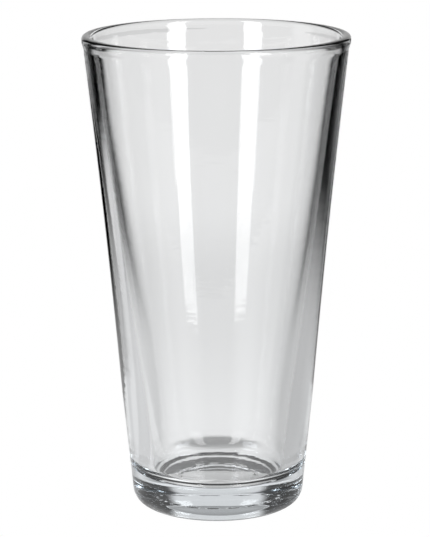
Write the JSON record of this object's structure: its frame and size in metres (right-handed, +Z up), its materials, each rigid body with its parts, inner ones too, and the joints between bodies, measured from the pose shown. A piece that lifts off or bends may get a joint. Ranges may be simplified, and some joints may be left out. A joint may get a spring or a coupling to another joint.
{
  "type": "mixing glass",
  "caption": "Tall tapered mixing glass of clear pressed glass, with a thick base and a rounded, slightly beaded rim.",
  "frame": {"origin": "middle of the ring that the glass stands on, at table height", "axes": "+Z up along the glass's axis, from the base to the open mouth; the glass is round, so +X and +Y are any two directions square to it"},
  "size_m": [0.089, 0.089, 0.1603],
  "materials": {
    "glass": "clear, fire-polished pressed soda-lime glass"
  },
  "bodies": {
    "root": {"glass_body": "glass"}
  },
  "joints": []
}
